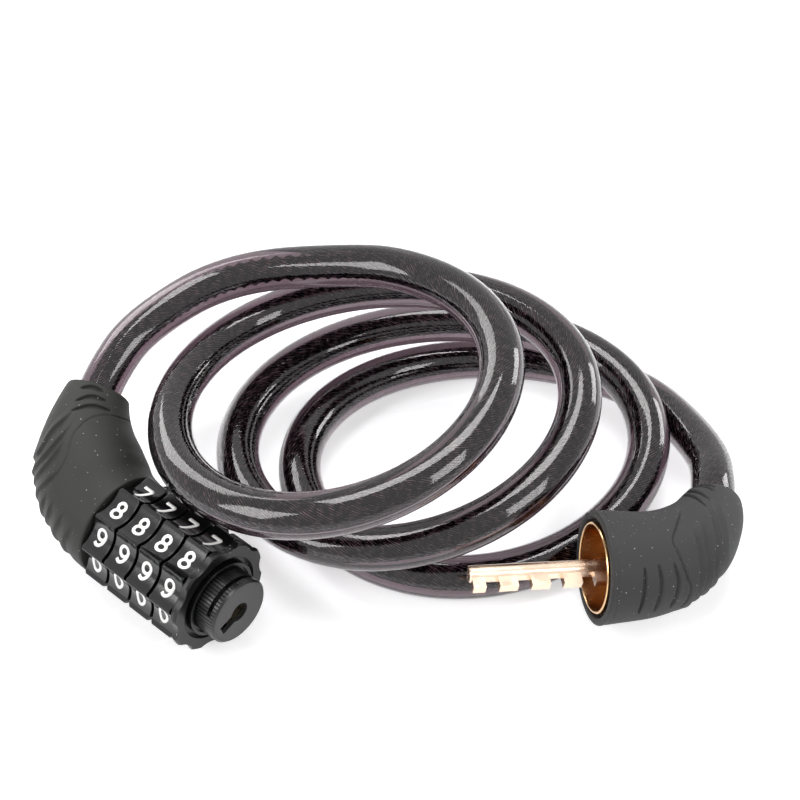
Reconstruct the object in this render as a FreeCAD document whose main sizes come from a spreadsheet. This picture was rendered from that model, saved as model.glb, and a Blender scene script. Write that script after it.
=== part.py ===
import FreeCAD
import Part
import math
import os
import re
import Sketcher

# Resettable combination lock on a self-coiling cable, lying open with its plug out.
# Millimetres, +Z up. The origin is on the ground under the middle of the two heads.
# Each head is built along its own axis, with Z towards its open end and X upwards,
# and is then laid on the ground by its placement.

doc = FreeCAD.newDocument("CableLock")
sheet = doc.addObject("Spreadsheet::Sheet", "Sizes")

sizes = {
    # Where the lock head lies: the back of dial 1 on its axis, and the way that the axis points
    "lock_x": -70.3, "lock_y": -4.05, "lock_z": 15.9, "lock_heading": -41.4, "lock_tilt": 0.0,
    # How far the head is rolled, from a dial face straight up to the one that carries the eight
    "face_angle": 16.3,
    # Where the plug head lies: the mouth of the shroud on its axis
    "plug_x": 53.13, "plug_y": -21.23, "plug_z": 19.7, "plug_heading": -170.2, "plug_tilt": 7.1,
    # Cable exits, measured from each head's own origin, and the elbow that both boots have
    "lock_exit_up": 14.1, "lock_exit_side": -21.4, "lock_exit_back": 32.0, "lock_exit_roll": -63.3,
    "plug_exit_up": 2.7, "plug_exit_side": 18.8, "plug_exit_back": 38.2, "plug_exit_roll": 84.4,
    "elbow_bend": 70.0,
    # Cable
    "cable_radius": 6.0, "rope_radius": 2.5, "rope_gap": 0.1, "cable_gap": 0.15, "hole_lead": 2.0,
    # Coil, counted in turns from its middle one. Centre of the loops: its place at the middle
    # turn and its drift with the first, second, third and fourth power of the turns from there
    "middle_turn": 1.75, "first_turn": 0.25, "last_turn": 3.25,
    "coil_x_mid": 6.99, "coil_x_step": 21.16, "coil_x_curve": -0.05, "coil_x_cube": -1.46,
    "coil_x_fourth": -0.421,
    "coil_y_mid": 28.94, "coil_y_step": 6.71, "coil_y_curve": -2.68, "coil_y_cube": -1.95,
    "coil_y_fourth": -0.12,
    "coil_z_mid": 24.22, "coil_z_step": -21.99, "coil_z_curve": -0.47, "coil_z_cube": 4.27,
    "coil_z_fourth": 1.92,
    # Half width and half depth of a loop, how far it is skewed, and how oval it is
    "width_mid": 51.82, "width_step": 2.38, "width_curve": -1.02,
    "depth_mid": 45.05, "depth_step": -0.82, "depth_curve": -0.31,
    "skew_x_mid": -6.11, "skew_x_step": 0.8, "skew_y_mid": 7.51, "skew_y_step": 0.75,
    "oval_x": 1.17, "oval_y": -0.71,
    # Lean of a loop along its cosine and its sine, and the wave on top of the lean
    "lean_cos_mid": 5.38, "lean_cos_step": -3.75, "lean_cos_curve": -1.87, "lean_cos_cube": -0.34,
    "lean_sin_mid": 1.61, "lean_sin_step": 2.44, "lean_sin_curve": -2.33, "lean_sin_cube": -1.22,
    "wave_cos": 1.03, "wave_sin": 1.13,
    # Angle at the first turn, and how much more than a turn each turn goes round
    "turn_lag": 0.0723, "turn_stretch": 0.0397,
    # Dials
    "dial_count": 4, "dial_pitch": 8.5, "dial_gap": 1.0, "dial_radius": 15.9, "dial_chamfer": 0.5,
    "face_count": 10, "face_depth": 2.5, "face_curve": 7.2, "dial_bore": 8.0,
    # Clutch between a dial and its code ring
    "clutch_start": 5.7, "clutch_width": 1.6, "clutch_side_gap": 0.2,
    "lobe_radius": 0.8, "lobe_gap": 0.25,
    # Code rings
    "ring_radius": 6.9, "ring_fit": 0.08, "ring_gap": 0.1, "ring_relief": 5.35, "land_fit": 0.05,
    "gate_land": 2.8, "gate_width": 2.9, "notch_radius": 0.9, "notch_centre": 5.0,
    # Barrel
    "barrel_radius": 4.4, "barrel_bore": 2.5, "barrel_back": 12.0, "barrel_floor": 2.0,
    "keyway_width": 2.8, "keyway_start": 0.5, "press_gap": 0.03,
    # Leaf that indexes the dials, in a groove of the barrel
    "groove_width": 1.6, "groove_low": 3.7, "groove_start": 1.0,
    "leaf_width": 1.4, "leaf_low": 3.75, "leaf_thick": 0.45, "leaf_start": 1.2, "leaf_short": 2.0,
    "hump_high": 5.28, "hump_start": 1.2, "hump_length": 1.6, "hump_crest": 0.5,
    # Spring behind the code rings
    "spring_wire": 0.4, "spring_radius": 6.0, "spring_length": 3.4, "spring_turns": 2.0,
    "spring_seat": 5.2, "spring_room": 7.2,
    # Shift collar and the roof-shaped cam that pushes it
    "collar_radius": 6.8, "collar_top": 38.4, "cam_lift": 1.8, "cam_gap": 0.45, "cam_overrun": 1.2,
    "key_width": 1.2, "key_depth": 0.5, "key_gap": 0.2, "cap_key_height": 1.4,
    # End cap
    "cap_gap": 0.2, "cap_thick": 2.0, "cap_scallop": 1.4, "cap_bore": 7.1, "collar_ring_out": 10.8,
    "collar_ring_in": 9.9, "collar_ring_high": 0.8, "seat_out": 12.2, "seat_floor": 0.6,
    # Knob
    "knob_radius": 9.3, "knob_gap": 0.3, "knob_face_z": 43.4, "knob_chamfer": 0.5,
    "knob_inside": 8.4, "hub_radius": 6.9, "hub_fit": 0.1, "web_low": 38.9, "web_high": 39.9,
    "knob_ribs": 60, "rib_cut": 0.3, "rib_length": 6.4,
    "window_low": 40.4, "window_high": 41.6, "window_span": 115.0, "window_start": -68.0,
    "face_radius": 8.2, "face_thick": 1.2, "keyhole_radius": 2.8, "keyhole_slot": 3.2,
    "keyhole_reach": 6.6, "barrel_inset": 0.2,
    # Clip that holds the knob on the barrel
    "clip_low": 40.0, "clip_thick": 0.6, "clip_seat": 3.9, "clip_radius": 6.4, "clip_mouth": 5.0,
    # Elbow cores and the crimps in them
    "core_radius": 8.6, "arm_radius": 7.6, "core_face": 0.6, "core_length": 14.0,
    "straight_end": 12.0, "arm_end": 20.0, "crimp_length": 6.5, "crimp_radius": 5.6,
    "crimp_gap": 0.05, "crimp_waist": 4.85, "waist_width": 2.4, "arm_lip": 0.3,
    "link_radius": 6.9, "knuckle_radius": 7.25,
    "dowel_radius": 1.0, "dowel_offset": 5.9, "dowel_length": 9.0, "dowel_gap": 0.03,
    # Boots
    "boot_gap": 0.4, "lock_boot_face": 15.0, "lock_boot_heel": 15.6, "boot_nose": 8.9,
    "plug_boot_mouth": 15.0, "plug_boot_waist": 14.2, "plug_boot_heel": 12.0, "plug_boot_nose": 7.7,
    "boot_wall": 1.0,
    "rim_setback": 0.3, "plug_straight": 10.2, "cavity_gap": 0.1,
    "rim_notch_width": 2.4, "rim_notch_depth": 1.6,
    # Plug
    "shroud_radius": 11.9, "shroud_inner": 11.2, "shroud_length": 13.0, "shroud_depth": 10.0,
    "shroud_lip": 0.2, "plug_disc": 5.0, "plug_core_radius": 7.4, "plug_core_length": 24.0,
    "pin_radius": 2.25, "pin_reach": 33.2, "pin_root": 16.0, "pin_shoulder": 3.6,
    "shoulder_high": 1.0, "tooth_count": 5, "tooth_reach": 5.0, "tooth_thick": 2.4,
    "tooth_gap": 3.6, "first_gap_centre": 5.5, "tip_chamfer": 0.4,
    "tooth_angle": 96.0,
}

for row, alias in enumerate(sizes, start=1):
    sheet.set("A%d" % row, alias)
    sheet.set("B%d" % row, str(sizes[alias]))
    sheet.setAlias("B%d" % row, alias)
doc.recompute()


def size(alias):
    """Read a driving dimension from the sheet."""
    return float(sheet.get(alias))


def formula(text):
    """Write an expression of aliases as one that names the sheet."""
    return re.sub(r"[a-z_]+", lambda word: "Sizes." + word.group() if word.group() in sizes
                  else word.group(), text)


def bind(item, prop, text):
    item.setExpression(prop, formula(text))


def heading_placement(x, y, z, heading, tilt, roll=0.0, shift=0.0):
    """Frame with Z along the heading, X upwards, then rolled about Z and moved along it."""
    psi = math.radians(heading)
    tau = math.radians(tilt)
    z_axis = FreeCAD.Vector(math.cos(tau) * math.cos(psi), math.cos(tau) * math.sin(psi),
                            math.sin(tau))
    x_axis = FreeCAD.Vector(-math.sin(tau) * math.cos(psi), -math.sin(tau) * math.sin(psi),
                            math.cos(tau))
    turn = FreeCAD.Rotation(x_axis, z_axis.cross(x_axis), z_axis, "ZXY")
    base = FreeCAD.Placement(FreeCAD.Vector(x, y, z), turn)
    spin = FreeCAD.Rotation(FreeCAD.Vector(0, 0, 1), roll)
    return base * FreeCAD.Placement(FreeCAD.Vector(0, 0, shift), spin)


LOCK = [size("lock_" + word) for word in ("x", "y", "z", "heading", "tilt")]
PLUG = [size("plug_" + word) for word in ("x", "y", "z", "heading", "tilt")]
lock_frame = heading_placement(*LOCK)
face_frame = heading_placement(*LOCK, roll=size("face_angle"))
plug_frame = heading_placement(*PLUG)
parts = []


def finish(item, label, placement):
    """Name a sub-part, lay it in its place and list it for writing."""
    item.Label = label
    item.Placement = placement
    parts.append(item)
    return item


def plane(body, role):
    return [part for part in body.Origin.OriginFeatures if part.Role == role][0]


def sketch_on(body, role, height="0"):
    """New sketch on a plane of the body's origin, raised along the plane's normal."""
    sketch = body.newObject("Sketcher::SketchObject", "Sketch")
    sketch.AttachmentSupport = (plane(body, role), [""])
    sketch.MapMode = "FlatFace"
    bind(sketch, "AttachmentOffset.Base.z", height)
    return sketch


def place_point(sketch, geometry, position, x, y):
    """Fix a point of the sketch at two expressions."""
    for kind, text in (("DistanceX", x), ("DistanceY", y)):
        index = sketch.addConstraint(Sketcher.Constraint(kind, -1, 1, geometry, position, 1.0))
        bind(sketch, "Constraints[%d]" % index, text)


def polygon(sketch, points):
    """Closed outline whose corners are given as pairs of expressions."""
    count = len(points)
    corners = [FreeCAD.Vector(math.cos(2 * math.pi * i / count), math.sin(2 * math.pi * i / count), 0)
               for i in range(count)]
    for i in range(count):
        sketch.addGeometry(Part.LineSegment(corners[i], corners[(i + 1) % count]))
    for i in range(count):
        sketch.addConstraint(Sketcher.Constraint("Coincident", i, 2, (i + 1) % count, 1))
    for i, (x, y) in enumerate(points):
        place_point(sketch, i, 1, x, y)


def circle(sketch, x, y, radius):
    """Circle given by expressions."""
    centre = FreeCAD.Vector(1, 1, 0)
    index = sketch.addGeometry(Part.Circle(centre, FreeCAD.Vector(0, 0, 1), 1.0))
    place_point(sketch, index, 3, x, y)
    row = sketch.addConstraint(Sketcher.Constraint("Radius", index, 1.0))
    bind(sketch, "Constraints[%d]" % row, radius)


def turned(name, points):
    """Body turned about Z from corners (radius, height)."""
    body = doc.addObject("PartDesign::Body", name)
    sketch = sketch_on(body, "XZ_Plane")
    polygon(sketch, points)
    turn = body.newObject("PartDesign::Revolution", "Revolution")
    turn.Profile = sketch
    turn.ReferenceAxis = (sketch, ["V_Axis"])
    turn.Angle = 360
    body.Tip = turn
    doc.recompute()
    return body


def pocket(body, sketch, depth):
    """Cut a sketch downwards by a depth, and check that it took something away."""
    before = body.Shape.Volume
    cut = body.newObject("PartDesign::Pocket", "Pocket")
    cut.Profile = sketch
    bind(cut, "Length", depth)
    body.Tip = cut
    doc.recompute()
    if body.Shape.Volume >= before:
        raise RuntimeError(body.Name + ": a pocket cuts nothing")
    return cut


def around(body, feature, sketch, count):
    """Repeat a feature evenly about Z."""
    pattern = body.newObject("PartDesign::PolarPattern", "Around")
    pattern.Originals = [feature]
    pattern.Axis = (sketch, ["N_Axis"])
    pattern.Angle = 360
    bind(pattern, "Occurrences", count)
    body.Tip = pattern
    doc.recompute()
    return pattern


def solid(kind, name, placement=None, **bound):
    """Part primitive whose sizes are expressions."""
    item = doc.addObject("Part::" + kind, name)
    if placement is not None:
        item.Placement = placement
    for prop, text in bound.items():
        bind(item, prop.replace("_at_", "Placement.Base."), text)
    return item


def cylinder(name, radius, height, start="0"):
    return solid("Cylinder", name, Radius=radius, Height=height, _at_z=start)


def block(name, length, width, height, x, y, z):
    return solid("Box", name, Length=length, Width=width, Height=height, _at_x=x, _at_y=y, _at_z=z)


def fuse(name, shapes):
    item = doc.addObject("Part::MultiFuse", name)
    item.Shapes = shapes
    return item


def cut(name, base, tool):
    item = doc.addObject("Part::Cut", name)
    item.Base = base
    item.Tool = tool
    return item


def common(name, first, second):
    item = doc.addObject("Part::MultiCommon", name)
    item.Shapes = [first, second]
    return item


# Dials: ten hollow faces with narrow lands between them, and a toothed band in the bore
DIAL_LOW = "dial_gap / 2"
DIAL_HIGH = "dial_pitch - dial_gap / 2"
BAND_HIGH = "clutch_start + clutch_width"
BAND_LAND = "ring_radius + ring_fit"


def dial(number):
    body = turned("Dial%d" % number, [
        ("dial_bore", DIAL_LOW), ("dial_radius - dial_chamfer", DIAL_LOW),
        ("dial_radius", DIAL_LOW + " + dial_chamfer"),
        ("dial_radius", DIAL_HIGH + " - dial_chamfer"),
        ("dial_radius - dial_chamfer", DIAL_HIGH), ("dial_bore", DIAL_HIGH),
        ("dial_bore", BAND_HIGH), (BAND_LAND, BAND_HIGH),
        (BAND_LAND, "clutch_start"), ("dial_bore", "clutch_start")])
    faces = sketch_on(body, "XY_Plane", "dial_pitch")
    circle(faces, "dial_radius - face_depth + face_curve", "0", "face_curve")
    around(body, pocket(body, faces, "dial_pitch"), faces, "face_count")
    grooves = sketch_on(body, "XY_Plane", "dial_pitch - dial_gap")
    circle(grooves, "ring_radius", "0", "lobe_radius + lobe_gap")
    around(body, pocket(body, grooves, "dial_pitch - 2 * dial_gap"), grooves, "face_count")
    return body


# Code rings: a land with the gate, a relief for the teeth, detent notches and clutch lobes
RING_HIGH = "dial_pitch"
LAND_LOW = "dial_pitch - gate_land"
LAND_RADIUS = "barrel_radius + land_fit"


def code_ring(number):
    body = turned("CodeRing%d" % number, [
        ("ring_relief", "ring_gap"), ("ring_radius", "ring_gap"), ("ring_radius", RING_HIGH),
        (LAND_RADIUS, RING_HIGH), (LAND_RADIUS, LAND_LOW), ("ring_relief", LAND_LOW)])
    gate = sketch_on(body, "XY_Plane", "dial_pitch")
    polygon(gate, [("-gate_width / 2", "barrel_bore"), ("gate_width / 2", "barrel_bore"),
                   ("gate_width / 2", "ring_relief"), ("-gate_width / 2", "ring_relief")])
    pocket(body, gate, "gate_land")
    notches = sketch_on(body, "XY_Plane", LAND_LOW)
    circle(notches, "0", "-notch_centre", "notch_radius")
    around(body, pocket(body, notches, "dial_pitch"), notches, "face_count")
    lobes = sketch_on(body, "XY_Plane", "clutch_start + clutch_side_gap")
    circle(lobes, "ring_radius", "0", "lobe_radius")
    pad = body.newObject("PartDesign::Pad", "Lobe")
    pad.Profile = lobes
    bind(pad, "Length", "clutch_width - 2 * clutch_side_gap")
    body.Tip = pad
    doc.recompute()
    around(body, pad, lobes, "face_count")
    return body


for number in range(1, int(size("dial_count")) + 1):
    station = heading_placement(*LOCK, roll=size("face_angle"),
                                shift=(number - 1) * size("dial_pitch"))
    finish(dial(number), "dial_%d" % number, station)
    finish(code_ring(number), "code_ring_%d" % number, station)

# Barrel: blind bore for the locking pin, keyway for its teeth, leaf groove and clip groove
STACK = "dial_count * dial_pitch"
BARREL_END = "knob_face_z - face_thick - barrel_inset"
CLIP_HIGH = "clip_low + clip_thick"
barrel = turned("Barrel", [
    ("0", "-barrel_back"), ("barrel_radius", "-barrel_back"),
    ("barrel_radius", "clip_low - press_gap"), ("clip_seat", "clip_low - press_gap"),
    ("clip_seat", CLIP_HIGH + " + press_gap"), ("barrel_radius", CLIP_HIGH + " + press_gap"),
    ("barrel_radius", BARREL_END), ("barrel_bore", BARREL_END),
    ("barrel_bore", "barrel_floor - barrel_back"), ("0", "barrel_floor - barrel_back")])
keyway = sketch_on(barrel, "XY_Plane", BARREL_END)
polygon(keyway, [("-keyway_width / 2", "0"), ("keyway_width / 2", "0"),
                 ("keyway_width / 2", "ring_relief"), ("-keyway_width / 2", "ring_relief")])
pocket(barrel, keyway, BARREL_END + " - keyway_start")
groove = sketch_on(barrel, "XY_Plane", BARREL_END)
polygon(groove, [("-groove_width / 2", "-ring_relief"), ("groove_width / 2", "-ring_relief"),
                 ("groove_width / 2", "-groove_low"), ("-groove_width / 2", "-groove_low")])
pocket(barrel, groove, BARREL_END + " - groove_start")
finish(barrel, "barrel", face_frame)

# Indexing leaf: a strip in the groove with one hump under each code ring
leaf = doc.addObject("PartDesign::Body", "Leaf")
side = sketch_on(leaf, "YZ_Plane")
LEAF_TOP = "-(leaf_low + leaf_thick)"
LEAF_END = STACK + " - leaf_short"
corners = [("-leaf_low", LEAF_END), ("-leaf_low", "leaf_start"), (LEAF_TOP, "leaf_start")]
for number in range(int(size("dial_count"))):
    foot = "%d * dial_pitch + hump_start + press_gap" % number
    corners += [(LEAF_TOP, foot),
                ("-hump_high", foot + " + (hump_length - hump_crest) / 2"),
                ("-hump_high", foot + " + (hump_length + hump_crest) / 2"),
                (LEAF_TOP, foot + " + hump_length")]
corners += [(LEAF_TOP, LEAF_END)]
polygon(side, corners)
strip = leaf.newObject("PartDesign::Pad", "Strip")
strip.Profile = side
strip.SideType = "Symmetric"
bind(strip, "Length", "leaf_width")
leaf.Tip = strip
finish(leaf, "detent_spring", face_frame)

# Shift collar: keyed in the leaf groove, with a roof-shaped cam towards the knob
ROOF_SPAN = "collar_radius * cam_overrun"
ROOF_RISE = "cam_lift * cam_overrun"


def roof(name, apex, floor):
    """Block from a floor up to a roof whose ridge lies along X at a height."""
    ridge = solid("Wedge", name + "Ridge", Xmin="-" + ROOF_SPAN, Xmax=ROOF_SPAN,
                  Zmin="-" + ROOF_SPAN, Zmax=ROOF_SPAN, X2min="-" + ROOF_SPAN, X2max=ROOF_SPAN,
                  Z2min="0", Z2max="0", Ymin="0", Ymax=ROOF_RISE, _at_z=apex + " - " + ROOF_RISE)
    ridge.Placement.Rotation = FreeCAD.Rotation(FreeCAD.Vector(1, 0, 0), 90)
    base = block(name + "Base", "2 * " + ROOF_SPAN, "2 * " + ROOF_SPAN,
                 apex + " - " + ROOF_RISE + " - (" + floor + ")",
                 "-" + ROOF_SPAN, "-" + ROOF_SPAN, floor)
    return fuse(name, [ridge, base])


COLLAR_LOW = STACK + " + ring_gap"
collar_tube = cut("CollarTube",
                  cylinder("CollarOut", "collar_radius", "collar_top - (" + COLLAR_LOW + ")",
                           COLLAR_LOW),
                  cylinder("CollarBore", LAND_RADIUS, "collar_top", "0"))
collar_roof = roof("CollarRoof", "collar_top", STACK)
key_slot = block("CollarKeySlot", "key_width + key_gap", "2 * key_depth", "collar_top",
                 "-(key_width + key_gap) / 2", "collar_radius - key_depth", "0")
collar_ring = cut("CollarRing", common("CollarBody", collar_tube, collar_roof), key_slot)
collar_key = block("CollarKey", "key_width", "key_depth + land_fit",
                   "collar_top - cam_lift - (" + COLLAR_LOW + ")",
                   "-key_width / 2", "-(barrel_radius + land_fit)", COLLAR_LOW)
finish(fuse("ShiftCollar", [collar_ring, collar_key]), "shift_collar", face_frame)

# End cap: plate with the dials' outline, a seat for the shroud and a ring round the knob
CAP_LOW = STACK + " + cap_gap"
CAP_HIGH = CAP_LOW + " + cap_thick"
RING_TOP = CAP_HIGH + " + collar_ring_high"
cap = turned("CapPlate", [
    ("cap_bore", CAP_LOW), ("dial_radius - dial_chamfer", CAP_LOW),
    ("dial_radius", CAP_LOW + " + dial_chamfer"), ("dial_radius", CAP_HIGH + " - dial_chamfer"),
    ("dial_radius - dial_chamfer", CAP_HIGH), ("seat_out", CAP_HIGH),
    ("seat_out", CAP_LOW + " + seat_floor"), ("collar_ring_out", CAP_LOW + " + seat_floor"),
    ("collar_ring_out", RING_TOP), ("collar_ring_in", RING_TOP), ("collar_ring_in", CAP_HIGH),
    ("cap_bore", CAP_HIGH)])
lobed = sketch_on(cap, "XY_Plane", RING_TOP)
circle(lobed, "dial_radius - cap_scallop + face_curve", "0", "face_curve")
around(cap, pocket(cap, lobed, "dial_pitch"), lobed, "face_count")
cap_key = block("CapKey", "key_width", "cap_bore - collar_radius + key_depth - press_gap",
                "cap_key_height", "-key_width / 2",
                "collar_radius - key_depth + press_gap + land_fit", CAP_LOW)
finish(fuse("EndCap", [cap, cap_key]), "end_cap", face_frame)

# Setting knob: fluted shell, web, hub with the cam's valley, and a window behind the face
KNOB_BACK = CAP_HIGH + " + knob_gap"
KNOB_RECESS = "face_radius + press_gap"
knob_shell = turned("KnobShell", [
    ("knob_inside", KNOB_BACK), ("knob_radius", KNOB_BACK),
    ("knob_radius", "knob_face_z - knob_chamfer"), ("knob_radius - knob_chamfer", "knob_face_z"),
    (KNOB_RECESS, "knob_face_z"), (KNOB_RECESS, "web_high"),
    ("barrel_radius + hub_fit", "web_high"), ("barrel_radius + hub_fit", "web_low"),
    ("knob_inside", "web_low")])
flutes = sketch_on(knob_shell, "XY_Plane", KNOB_BACK + " + rib_length")
polygon(flutes, [("knob_radius - rib_cut", "0"), ("knob_radius + rib_cut", "-rib_cut"),
                 ("knob_radius + rib_cut", "rib_cut")])
around(knob_shell, pocket(knob_shell, flutes, "rib_length + knob_gap"), flutes, "knob_ribs")
hub_roof = roof("HubRoof", "collar_top + cam_gap", STACK)
hub_tube = cut("HubTube",
               cylinder("HubOut", "hub_radius", "web_high - (" + KNOB_BACK + ")", KNOB_BACK),
               cylinder("HubBore", "barrel_radius + hub_fit", "web_high", "0"))
hub = cut("Hub", hub_tube, hub_roof)
window = solid("Cylinder", "WindowOut", Radius="2 * knob_radius",
               Height="window_high - window_low", Angle="window_span", _at_z="window_low")
window.Placement.Rotation = FreeCAD.Rotation(FreeCAD.Vector(0, 0, 1), size("window_start"))
window_core = cylinder("WindowCore", "face_radius", "window_high", "0")
knob = cut("Knob", fuse("KnobWhole", [knob_shell, hub]), cut("Window", window, window_core))
finish(knob, "set_knob", face_frame)

# Face disc of the knob, with the keyhole for the locking pin
disc = doc.addObject("PartDesign::Body", "KnobFace")
rim = sketch_on(disc, "XY_Plane", "knob_face_z - face_thick")
circle(rim, "0", "0", "face_radius")
plate = disc.newObject("PartDesign::Pad", "Plate")
plate.Profile = rim
bind(plate, "Length", "face_thick")
disc.Tip = plate
doc.recompute()
hole = sketch_on(disc, "XY_Plane", "knob_face_z")
circle(hole, "0", "0", "keyhole_radius")
pocket(disc, hole, "face_thick")
slot = sketch_on(disc, "XY_Plane", "knob_face_z")
polygon(slot, [("-keyhole_slot / 2", "0"), ("keyhole_slot / 2", "0"),
               ("keyhole_slot / 2", "keyhole_reach"), ("-keyhole_slot / 2", "keyhole_reach")])
pocket(disc, slot, "face_thick")
finish(disc, "knob_face", face_frame)

# Clip: open ring in the barrel's groove, its mouth over the keyway
clip_ring = cut("ClipRing", cylinder("ClipOut", "clip_radius", "clip_thick", "clip_low"),
                cylinder("ClipIn", "clip_seat + press_gap", "knob_face_z", "0"))
clip_mouth = block("ClipMouth", "clip_mouth", "2 * clip_radius", "knob_face_z",
                   "-clip_mouth / 2", "0", "0")
finish(cut("Clip", clip_ring, clip_mouth), "knob_clip", face_frame)

# Elbow geometry shared by the cores, the crimps, the dowels, the boots and the cable


def exit_of(head):
    """Cable exit of a head and the direction in which the cable leaves it, in head axes."""
    point = FreeCAD.Vector(size(head + "_exit_up"), size(head + "_exit_side"),
                           -size(head + "_exit_back"))
    bend = math.radians(size("elbow_bend"))
    roll = math.radians(size(head + "_exit_roll"))
    way = FreeCAD.Vector(math.sin(bend) * math.cos(roll), math.sin(bend) * math.sin(roll),
                         -math.cos(bend))
    return point, way


def along(start, way):
    """Placement with Z along a direction."""
    return FreeCAD.Placement(start, FreeCAD.Rotation(FreeCAD.Vector(0, 0, 1), way))


def inward(head, distance):
    """Placement on the cable's straight end, looking back into the boot."""
    point, way = exit_of(head)
    return along(point - way * distance, way * -1)


def arm_solid(head, name, radius, height, start):
    """Cylinder on the cable's straight end, from a distance inside the boot's mouth."""
    item = solid("Cylinder", name, placement=inward(head, start), Radius=radius)
    bind(item, "Height", height)
    return item


def link(head, name, back, grow):
    """Rounded bar from the head's axis to the end of its arm."""
    point, way = exit_of(head)
    knee = FreeCAD.Vector(0, 0, -back)
    tip = point - way * (size("arm_end") - size("crimp_gap"))
    span = tip - knee
    bar = solid("Cylinder", name + "Bar", placement=along(knee, span),
                Radius="link_radius + %s" % grow)
    bar.Height = span.Length
    balls = []
    for word, centre in (("Knee", knee), ("Tip", tip)):
        ball = solid("Sphere", name + word, Radius="knuckle_radius + %s" % grow)
        ball.Placement.Base = centre
        balls.append(ball)
    return [bar] + balls


def elbow_core(head, name, front, radius, length, grow):
    """Die-cast core: a stub on the head's axis, an arm on the cable's, and a link."""
    reach = size("straight_end") + size("arm_lip") - grow
    stub = cylinder(name + "Stub", radius + " + %s" % grow, length + " + %s" % grow,
                    "-(" + front + ") - (" + length + " + %s)" % grow)
    arm = arm_solid(head, name + "Arm", "arm_radius + %s" % grow,
                    "arm_end - straight_end", reach)
    back = size("core_length") if head == "lock" else size("plug_core_length")
    bars = link(head, name + "Link", back - size("dowel_radius"), grow)
    return fuse(name, [stub, arm] + bars)


def crimp_bore(head, name, gap):
    """Room for the crimp, open towards the cable."""
    return arm_solid(head, name, "crimp_radius + %s" % gap,
                     "crimp_length + 2 * crimp_gap", size("straight_end"))


def dowel_at(head, name, radius, length):
    """Round dowel across the arm, through the waist of the crimp."""
    point, way = exit_of(head)
    middle = point - way * (size("straight_end") + size("crimp_length") / 2)
    across = way.cross(FreeCAD.Vector(0, 0, 1)).normalize()
    side = across.cross(way).normalize()
    start = middle + side * size("dowel_offset") - across * (length / 2)
    item = solid("Cylinder", name, placement=along(start, across), Radius=radius)
    item.Height = length
    return item


def crimp(head):
    """Sleeve on the wire rope, with a waist for the dowel."""
    middle = "crimp_length / 2"
    body = turned(head.title() + "Crimp", [
        ("rope_radius + crimp_gap", "crimp_gap"), ("crimp_radius", "crimp_gap"),
        ("crimp_radius", middle + " - waist_width / 2"),
        ("crimp_waist", middle + " - waist_width / 2"),
        ("crimp_waist", middle + " + waist_width / 2"),
        ("crimp_radius", middle + " + waist_width / 2"),
        ("crimp_radius", "crimp_length"), ("rope_radius + crimp_gap", "crimp_length")])
    frame = lock_frame if head == "lock" else plug_frame
    return finish(body, head + "_ferrule", frame * inward(head, size("straight_end")))


# Curves: a biarc joins two points with given directions by two tangent arcs
def arc_edge(start, corner, end):
    """Arc that touches both legs of an even-legged corner."""
    middle = (start + end) * 0.5
    chord = (start - middle).Length
    height = (corner - middle).Length
    leg = (corner - start).Length
    radius = chord * leg / height
    top = middle + (corner - middle) * (radius * (1 - chord / leg) / height)
    return Part.Arc(start, top, end).toShape(), radius


def biarc(start, start_way, end, end_way):
    span = end - start
    squared = 2 * (start_way.dot(end_way) - 1)
    linear = -2 * span.dot(start_way + end_way)
    constant = span.dot(span)
    leg = (-linear - math.sqrt(linear * linear - 4 * squared * constant)) / (2 * squared)
    if leg < 0:
        leg = (-linear + math.sqrt(linear * linear - 4 * squared * constant)) / (2 * squared)
    first = start + start_way * leg
    second = end - end_way * leg
    middle = (first + second) * 0.5
    return [arc_edge(start, first, middle), arc_edge(middle, second, end)]


# Boots: lofts through round sections along the head's axis and the elbow's biarc
def round_section(centre, way, upright, radius):
    """Circle of four arcs, square to a direction."""
    first = (upright - way * upright.dot(way)).normalize()
    second = way.cross(first)

    def spot(eighth):
        angle = math.pi * eighth / 4
        return centre + (first * math.cos(angle) + second * math.sin(angle)) * radius

    return Part.Wire([Part.Arc(spot(2 * i), spot(2 * i + 1), spot(2 * i + 2)).toShape()
                      for i in range(4)])


def boot_loft(head, name, start, straight, radii):
    """Boot's outside: sections at shares of the way, straight first and then bent."""
    point, way = exit_of(head)
    back = FreeCAD.Vector(0, 0, -1)
    knee = back * (start + straight)
    edges = [edge for edge, _ in biarc(knee, back, point, way)]
    print(head, "boot bends at radii", [round(r, 1) for _, r in biarc(knee, back, point, way)])
    upright = back.cross(way).normalize()
    whole = sum(edge.Length for edge in edges)
    sections = []
    for share, radius in radii:
        if share < 0:
            sections.append(round_section(back * (start + straight * (1 + share)), back,
                                          upright, radius))
            continue
        run = share * whole
        edge = edges[0]
        if run > edges[0].Length:
            edge = edges[1]
            run = min(run - edges[0].Length, edge.Length)
        spot = edge.getParameterByLength(run)
        sections.append(round_section(edge.valueAt(spot), edge.tangentAt(spot), upright, radius))
    item = doc.addObject("Part::Feature", name)
    item.Shape = Part.makeLoft(sections, True, False)
    return item


mouth = size("plug_boot_mouth")
waist = size("plug_boot_waist")
bend = size("plug_boot_heel")
tip = size("plug_boot_nose")
plug_radii = [(-1.0, mouth), (-0.5, 0.5 * (mouth + waist)), (0.0, waist),
              (0.25, 0.6 * waist + 0.4 * bend), (0.5, bend), (0.75, tip + 0.57 * (bend - tip)),
              (0.92, tip + 0.24 * (bend - tip)), (1.0, tip)]


def plug_loft(name, wall):
    """Outside of the plug boot, or its inside at the least thickness of its wall."""
    return boot_loft("plug", name, size("rim_setback"), size("plug_straight"),
                     [(share, radius - wall) for share, radius in plug_radii])


def plug_core(name, grow):
    return elbow_core("plug", name, "shroud_depth", "plug_core_radius",
                      "plug_core_length - shroud_depth", grow)


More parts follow.
